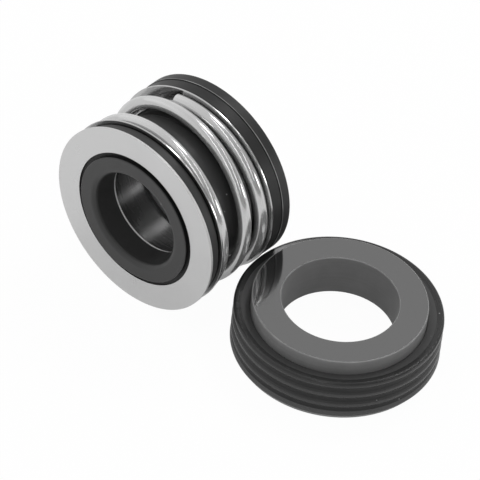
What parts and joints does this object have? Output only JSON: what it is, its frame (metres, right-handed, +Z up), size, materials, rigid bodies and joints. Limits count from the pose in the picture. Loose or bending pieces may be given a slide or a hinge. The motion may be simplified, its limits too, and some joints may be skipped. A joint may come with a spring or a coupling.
{
  "type": "mechanical seal",
  "caption": "Elastomer-bellows mechanical shaft seal: a spring-loaded rotary head lying on its side, and a ribbed rubber-cupped seat with its sealing face up.",
  "frame": {"origin": "on the stationary seat's axis, at the underside of the seat ring; the bench that both units lie on is 2.8 mm below", "axes": "+Z up along the seat's axis, out of its sealing face; the rotary head lies along Y with its sealing face towards +Y and its back ring towards -Y"},
  "size_m": [0.0613, 0.0322, 0.0313],
  "materials": {
    "sheet_steel": "satin",
    "spring_steel": "bright drawn wire",
    "rubber": "moulded, half matt",
    "head_ring": "fine turned",
    "seat_ring": "lapped"
  },
  "bodies": {
    "back_and_seat": {"back_ring": "sheet_steel", "rear_collar": "sheet_steel", "bellows": "rubber", "spring": "spring_steel", "seat_ring": "seat_ring", "seat_cup": "rubber"},
    "front": {"front_collar": "sheet_steel", "face_ring": "head_ring"}
  },
  "joints": [
    {"name": "face_slide", "type": "slide", "parent": "back_and_seat", "child": "front", "axis": [0, -1, 0], "range_m": [0, 0.0025], "stiffness_N_per_m": 3800, "deforming": ["spring", "bellows"]}
  ]
}
